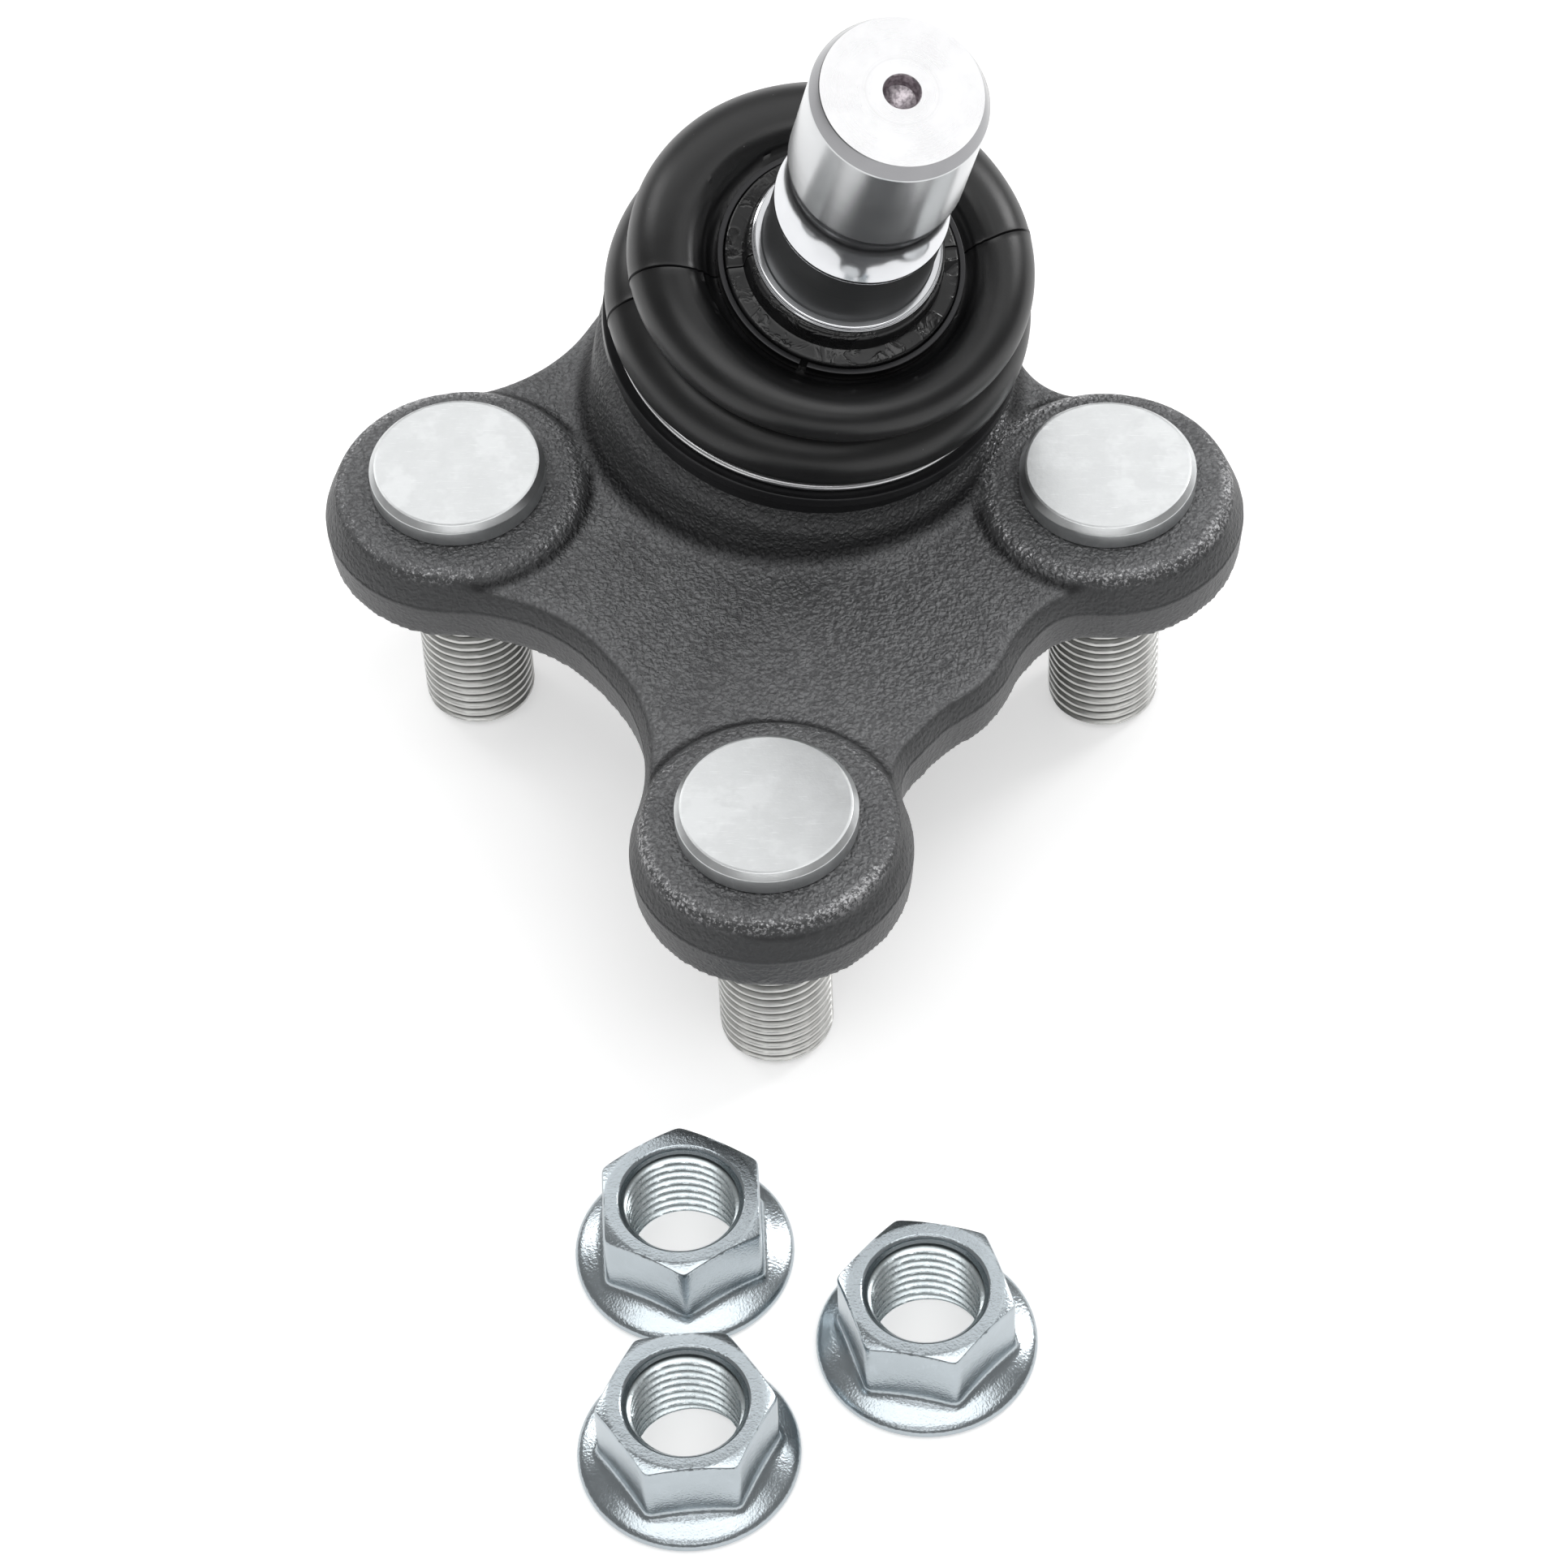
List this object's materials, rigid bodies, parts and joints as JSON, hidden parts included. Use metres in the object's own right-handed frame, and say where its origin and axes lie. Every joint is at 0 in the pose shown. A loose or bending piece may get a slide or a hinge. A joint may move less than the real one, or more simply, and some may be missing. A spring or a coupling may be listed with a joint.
{
  "type": "suspension ball joint",
  "caption": "Suspension ball joint: a socket in a forged flange with press-in bolts and loose flange nuts, and a grooved stud that swings and spins under a folded rubber boot.",
  "frame": {"origin": "centre of the ball", "axes": "+Z square to the mounting face, from the face towards the boot; +X from the left bolt to the right bolt, which make the rear pair; -Y towards the front bolt"},
  "size_m": [0.0982, 0.15, 0.1002],
  "materials": {
    "forging": "shot-blasted and phosphated",
    "bearing_plastic": "moulded",
    "spring_steel": "hardened",
    "cap_steel": "pressed",
    "stud_steel": "turned and ground",
    "boot_rubber": "moulded, semi-matte",
    "ring_steel": "bright drawn",
    "bolt_zinc": "zinc plated",
    "nut_zinc": "zinc plated, slightly blue"
  },
  "bodies": {
    "housing": {"housing": "forging", "upper_bearing": "bearing_plastic", "lower_bearing": "bearing_plastic", "preload_spring": "spring_steel", "end_cap": "cap_steel", "boot_base_ring": "ring_steel", "bolt_left": "bolt_zinc", "bolt_right": "bolt_zinc", "bolt_front": "bolt_zinc", "nut_left": "nut_zinc", "nut_right": "nut_zinc", "nut_front": "nut_zinc"},
    "boot_fold": {"dust_boot": "boot_rubber"},
    "boot_neck": {"boot_neck_ring": "ring_steel"},
    "stud": {"ball_stud": "stud_steel"}
  },
  "joints": [
    {"name": "stud_swing", "type": "hinge", "parent": "housing", "child": "boot_fold", "pos_m": [0, 0, 0], "axis": [0.9533, 0.284, -0.1024], "range_deg": [-28.8, 11.2], "deforming": ["dust_boot"]},
    {"name": "stud_side_swing", "type": "hinge", "parent": "boot_fold", "child": "boot_neck", "pos_m": [0, 0, 0], "axis": [0.2388, -0.917, -0.3194], "range_deg": [-20, 20]},
    {"name": "stud_spin", "type": "hinge", "parent": "boot_neck", "child": "stud", "pos_m": [0, 0, 0], "axis": [0.1847, -0.2801, 0.9421], "continuous": true}
  ]
}
